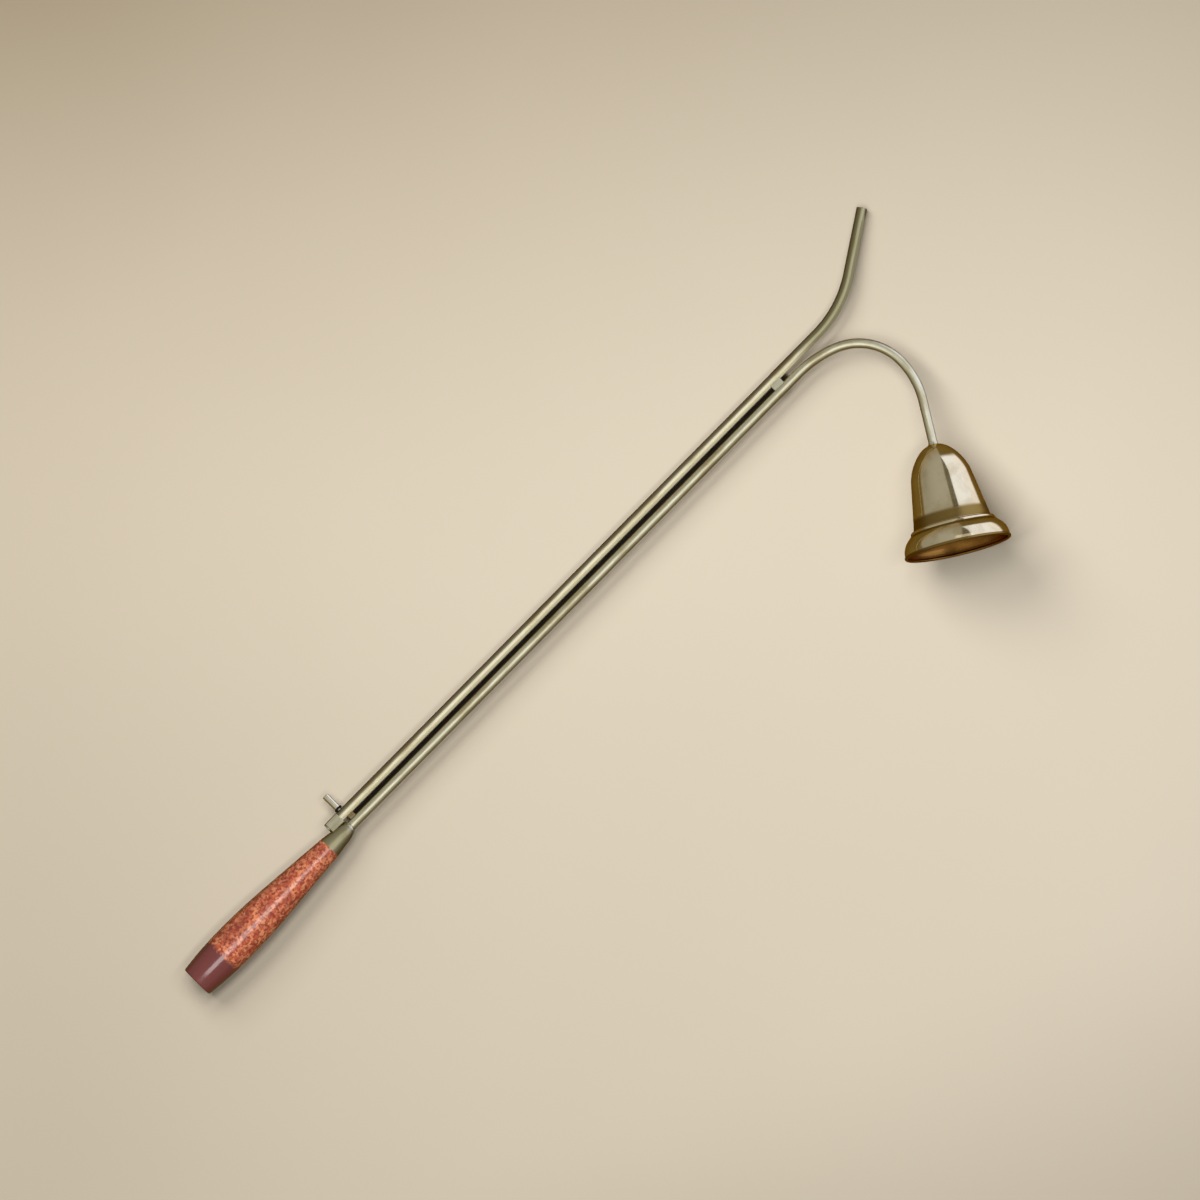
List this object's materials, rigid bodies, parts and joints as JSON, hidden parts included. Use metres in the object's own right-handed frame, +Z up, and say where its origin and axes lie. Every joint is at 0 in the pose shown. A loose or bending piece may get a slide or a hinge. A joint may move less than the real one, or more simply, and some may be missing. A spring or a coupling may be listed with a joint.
{
  "type": "candle snuffer",
  "caption": "Long-handled candle lighter and snuffer: wooden grip, brass shaft with a bell on a gooseneck, and a parallel slotted tube whose thumb slide feeds a wax taper.",
  "frame": {"origin": "on the table, under the middle of the bounding box, with the tool lying on its handle, bell rim and tube tip", "axes": "+X along the rod from handle to tip, +Y to the taper tube's side, +Z up from the table"},
  "size_m": [0.6108, 0.204, 0.0648],
  "materials": {
    "turned_wood": "mottled red-brown, lacquered",
    "brass": "pale polished brass",
    "knob_brass": "bright brass",
    "bell_brass": "polished, warmer brass",
    "black_collar": "black, matt"
  },
  "bodies": {
    "staff": {"handle": "turned_wood", "ferrule": "brass", "snuffer_arm": "brass", "taper_tube": "brass", "tube_saddle": "brass", "tail_plug": "brass", "lower_spacer": "brass", "upper_spacer": "brass", "bell": "bell_brass", "bell_washer": "brass", "bell_nut": "brass"},
    "slider": {"thumb_knob": "knob_brass", "knob_collar": "black_collar", "taper_carrier": "brass"}
  },
  "joints": [
    {"name": "taper_slide", "type": "slide", "parent": "staff", "child": "slider", "axis": [1, 0, -0.0044], "range_m": [0, 0.3657]}
  ]
}
